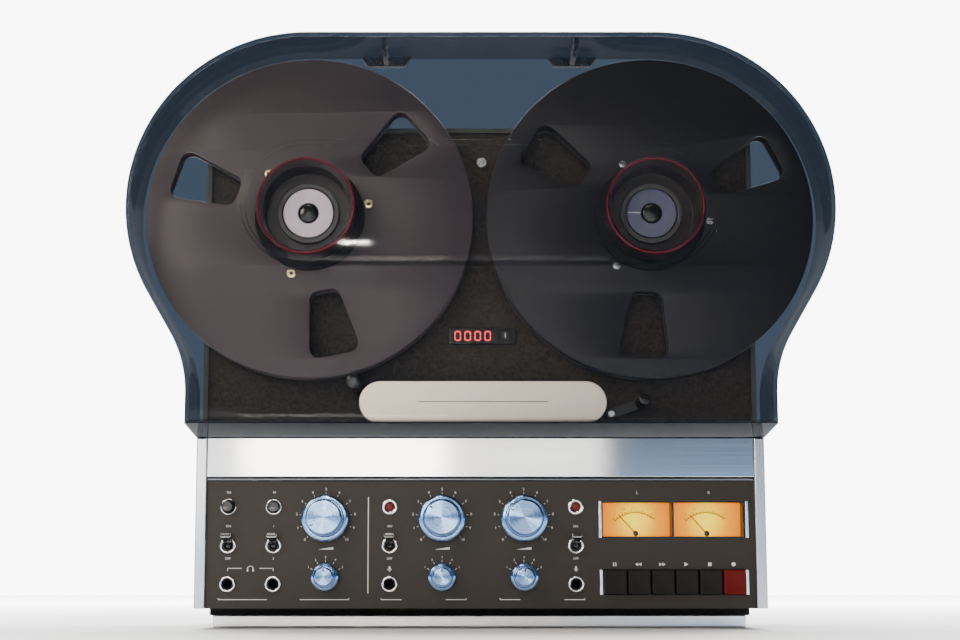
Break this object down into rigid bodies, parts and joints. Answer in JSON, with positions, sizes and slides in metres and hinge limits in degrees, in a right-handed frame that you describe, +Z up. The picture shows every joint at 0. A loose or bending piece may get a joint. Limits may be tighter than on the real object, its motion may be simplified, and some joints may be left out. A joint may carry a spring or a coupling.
{
  "type": "reel-to-reel tape recorder",
  "caption": "Upright reel-to-reel tape recorder with large reels, level meters, knobs and transport keys under a smoked dust cover that lifts off forwards.",
  "frame": {"origin": "on the floor, under the middle of the machine's outer box", "axes": "+X to the machine's right as seen from the front, +Y to the back, +Z up"},
  "size_m": [0.56, 0.225, 0.4745],
  "materials": {
    "cabinet_paint": "fine satin grain",
    "rear_cover_paint": "satin",
    "deck_texture": "speckled matt",
    "panel_paint": "satin",
    "brushed_aluminium": "brushed lengthways",
    "plinth_plastic": "matt",
    "foot_aluminium": "satin",
    "cast_alloy": "cast",
    "screw_steel": "plated",
    "motor_steel": "satin",
    "head_alloy": "machined",
    "hood_plastic": "matt",
    "head_plate_aluminium": "brushed",
    "counter_black": "gloss with lit red digits",
    "reset_grey": "satin",
    "meter_case": "matt",
    "meter_glow": "lit from behind",
    "meter_glass": "clear",
    "ring_chrome": "polished",
    "jack_black": "gloss",
    "switch_grey": "matt",
    "lamp_red": "translucent",
    "electronics": "mixed",
    "socket_black": "matt",
    "capstan_steel": "ground",
    "arm_steel": "plated",
    "pinch_rubber": "matt",
    "tension_black": "satin",
    "smoked_acrylic": "smoked, glossy",
    "left_reel_lacquer": "glossy dark lacquer",
    "adapter_black": "gloss",
    "adapter_red": "anodised",
    "spindle_alloy": "turned",
    "spindle_pale": "satin",
    "right_reel_lacquer": "glossy dark lacquer",
    "knob_aluminium": "spun",
    "button_grey": "satin",
    "toggle_black": "satin",
    "key_grey": "satin",
    "key_red": "satin",
    "needle_black": "matt"
  },
  "bodies": {
    "machine": {"cabinet": "cabinet_paint", "rear_cover": "rear_cover_paint", "deck_plate": "deck_texture", "control_panel": "panel_paint", "front_trims": "brushed_aluminium", "base_plinth": "plinth_plastic", "foot_rails": "foot_aluminium", "chassis": "cast_alloy", "cabinet_screws": "screw_steel", "drive_motors": "motor_steel", "head_block": "head_alloy", "head_cover": "hood_plastic", "head_plate": "head_plate_aluminium", "counter_display": "counter_black", "meter_housing": "meter_case", "meter_dials": "meter_glow", "meter_window": "meter_glass", "panel_rings": "ring_chrome", "jack_sockets": "jack_black", "panel_switchgear": "switch_grey", "record_lamps": "lamp_red", "power_electronics": "electronics", "rear_sockets": "socket_black"},
    "left_reel": {"left_reel": "left_reel_lacquer", "left_adapter_cup": "adapter_black", "left_adapter_ring": "adapter_red", "left_spindle": "spindle_alloy", "left_spindle_disc": "spindle_pale"},
    "right_reel": {"right_reel": "right_reel_lacquer", "right_adapter_cup": "adapter_black", "right_adapter_ring": "adapter_red", "right_spindle": "spindle_alloy", "right_spindle_disc": "spindle_pale"},
    "capstan": {"capstan": "capstan_steel"},
    "pinch_arm": {"pinch_arm": "arm_steel"},
    "pinch_roller": {"pinch_roller": "pinch_rubber"},
    "tension_arm": {"tension_arm": "tension_black"},
    "counter_reset": {"counter_reset": "reset_grey"},
    "volume_ring": {"volume_ring": "knob_aluminium"},
    "volume_knob": {"volume_knob": "knob_aluminium"},
    "level_knob_left": {"level_knob_left": "knob_aluminium"},
    "level_knob_right": {"level_knob_right": "knob_aluminium"},
    "monitor_selector": {"monitor_selector": "knob_aluminium"},
    "input_selector_left": {"input_selector_left": "knob_aluminium"},
    "input_selector_right": {"input_selector_right": "knob_aluminium"},
    "speed_button_slow": {"speed_button_slow": "button_grey"},
    "speed_button_fast": {"speed_button_fast": "button_grey"},
    "power_toggle": {"power_toggle": "toggle_black"},
    "monitor_toggle": {"monitor_toggle": "toggle_black"},
    "record_toggle_left": {"record_toggle_left": "toggle_black"},
    "record_toggle_right": {"record_toggle_right": "toggle_black"},
    "pause_key": {"pause_key": "key_grey"},
    "rewind_key": {"rewind_key": "key_grey"},
    "forward_key": {"forward_key": "key_grey"},
    "play_key": {"play_key": "key_grey"},
    "stop_key": {"stop_key": "key_grey"},
    "record_key": {"record_key": "key_red"},
    "needle_left": {"needle_left": "needle_black"},
    "needle_right": {"needle_right": "needle_black"},
    "dust_cover": {"dust_cover": "smoked_acrylic"}
  },
  "joints": [
    {"name": "left_reel_spin", "type": "hinge", "parent": "machine", "child": "left_reel", "pos_m": [-0.1385, -0.0475, 0.333], "axis": [0, 1, 0], "continuous": true},
    {"name": "right_reel_spin", "type": "hinge", "parent": "machine", "child": "right_reel", "pos_m": [0.1385, -0.0475, 0.333], "axis": [0, 1, 0], "continuous": true},
    {"name": "capstan_spin", "type": "hinge", "parent": "machine", "child": "capstan", "pos_m": [0.052, -0.0475, 0.179], "axis": [0, 1, 0], "continuous": true},
    {"name": "pinch_arm_swing", "type": "hinge", "parent": "machine", "child": "pinch_arm", "pos_m": [0.067, -0.0535, 0.1705], "axis": [0, 1, 0], "range_deg": [-15, 0], "stiffness_Nm_per_rad": 0.02},
    {"name": "pinch_roller_spin", "type": "hinge", "parent": "pinch_arm", "child": "pinch_roller", "pos_m": [0.067, -0.0595, 0.1805], "axis": [0, 1, 0], "continuous": true},
    {"name": "tension_arm_swing", "type": "hinge", "parent": "machine", "child": "tension_arm", "pos_m": [0.107, -0.0525, 0.173], "axis": [0, 1, 0], "range_deg": [-14, 0], "stiffness_Nm_per_rad": 0.02},
    {"name": "counter_reset_press", "type": "slide", "parent": "machine", "child": "counter_reset", "axis": [0, 1, 0], "range_m": [0, 0.002], "stiffness_N_per_m": 300},
    {"name": "volume_ring_turn", "type": "hinge", "parent": "machine", "child": "volume_ring", "pos_m": [-0.1227, -0.0695, 0.0868], "axis": [0, 1, 0], "range_deg": [-11, 259]},
    {"name": "volume_knob_turn", "type": "hinge", "parent": "machine", "child": "volume_knob", "pos_m": [-0.1227, -0.0695, 0.0868], "axis": [0, 1, 0], "range_deg": [-11, 259]},
    {"name": "level_knob_left_turn", "type": "hinge", "parent": "machine", "child": "level_knob_left", "pos_m": [-0.03051, -0.0695, 0.0868], "axis": [0, 1, 0], "range_deg": [-89, 181]},
    {"name": "level_knob_right_turn", "type": "hinge", "parent": "machine", "child": "level_knob_right", "pos_m": [0.0343, -0.0695, 0.0868], "axis": [0, 1, 0], "range_deg": [-75, 195]},
    {"name": "monitor_selector_turn", "type": "hinge", "parent": "machine", "child": "monitor_selector", "pos_m": [-0.1227, -0.0695, 0.0407], "axis": [0, 1, 0], "range_deg": [-60, 60]},
    {"name": "input_selector_left_turn", "type": "hinge", "parent": "machine", "child": "input_selector_left", "pos_m": [-0.03051, -0.0695, 0.0407], "axis": [0, 1, 0], "range_deg": [-60, 60]},
    {"name": "input_selector_right_turn", "type": "hinge", "parent": "machine", "child": "input_selector_right", "pos_m": [0.0343, -0.0695, 0.0407], "axis": [0, 1, 0], "range_deg": [-60, 60]},
    {"name": "speed_slow_press", "type": "slide", "parent": "machine", "child": "speed_button_slow", "axis": [0, 1, 0], "range_m": [0, 0.004]},
    {"name": "speed_fast_press", "type": "slide", "parent": "machine", "child": "speed_button_fast", "axis": [0, 1, 0], "range_m": [-0.004, 0]},
    {"name": "power_toggle_flip", "type": "hinge", "parent": "machine", "child": "power_toggle", "pos_m": [-0.19999, -0.0675, 0.0656], "axis": [1, 0, 0], "range_deg": [0, 56]},
    {"name": "monitor_toggle_flip", "type": "hinge", "parent": "machine", "child": "monitor_toggle", "pos_m": [-0.16401, -0.0675, 0.0656], "axis": [1, 0, 0], "range_deg": [0, 56]},
    {"name": "record_toggle_left_flip", "type": "hinge", "parent": "machine", "child": "record_toggle_left", "pos_m": [-0.07201, -0.0675, 0.0656], "axis": [1, 0, 0], "range_deg": [0, 56]},
    {"name": "record_toggle_right_flip", "type": "hinge", "parent": "machine", "child": "record_toggle_right", "pos_m": [0.0754, -0.0675, 0.0656], "axis": [1, 0, 0], "range_deg": [0, 56]},
    {"name": "pause_key_press", "type": "slide", "parent": "machine", "child": "pause_key", "axis": [0, 1, 0], "range_m": [0, 0.003], "stiffness_N_per_m": 400},
    {"name": "rewind_key_press", "type": "slide", "parent": "machine", "child": "rewind_key", "axis": [0, 1, 0], "range_m": [0, 0.003], "stiffness_N_per_m": 400},
    {"name": "forward_key_press", "type": "slide", "parent": "machine", "child": "forward_key", "axis": [0, 1, 0], "range_m": [0, 0.003], "stiffness_N_per_m": 400},
    {"name": "play_key_press", "type": "slide", "parent": "machine", "child": "play_key", "axis": [0, 1, 0], "range_m": [0, 0.003], "stiffness_N_per_m": 400},
    {"name": "stop_key_press", "type": "slide", "parent": "machine", "child": "stop_key", "axis": [0, 1, 0], "range_m": [0, 0.003], "stiffness_N_per_m": 400},
    {"name": "record_key_press", "type": "slide", "parent": "machine", "child": "record_key", "axis": [0, 1, 0], "range_m": [0, 0.003], "stiffness_N_per_m": 400},
    {"name": "needle_left_swing", "type": "hinge", "parent": "machine", "child": "needle_left", "pos_m": [0.1245, -0.0585, 0.0754], "axis": [0, 1, 0], "range_deg": [0, 84], "stiffness_Nm_per_rad": 0.0002},
    {"name": "needle_right_swing", "type": "hinge", "parent": "machine", "child": "needle_right", "pos_m": [0.1815, -0.0585, 0.0754], "axis": [0, 1, 0], "range_deg": [0, 84], "stiffness_Nm_per_rad": 0.0002},
    {"name": "dust_cover_off", "type": "slide", "parent": "machine", "child": "dust_cover", "axis": [0, -1, 0], "range_m": [0, 0.12]}
  ],
  "couplings": [
    {"joint": "speed_fast_press", "follows": "speed_slow_press", "ratio": -1}
  ]
}
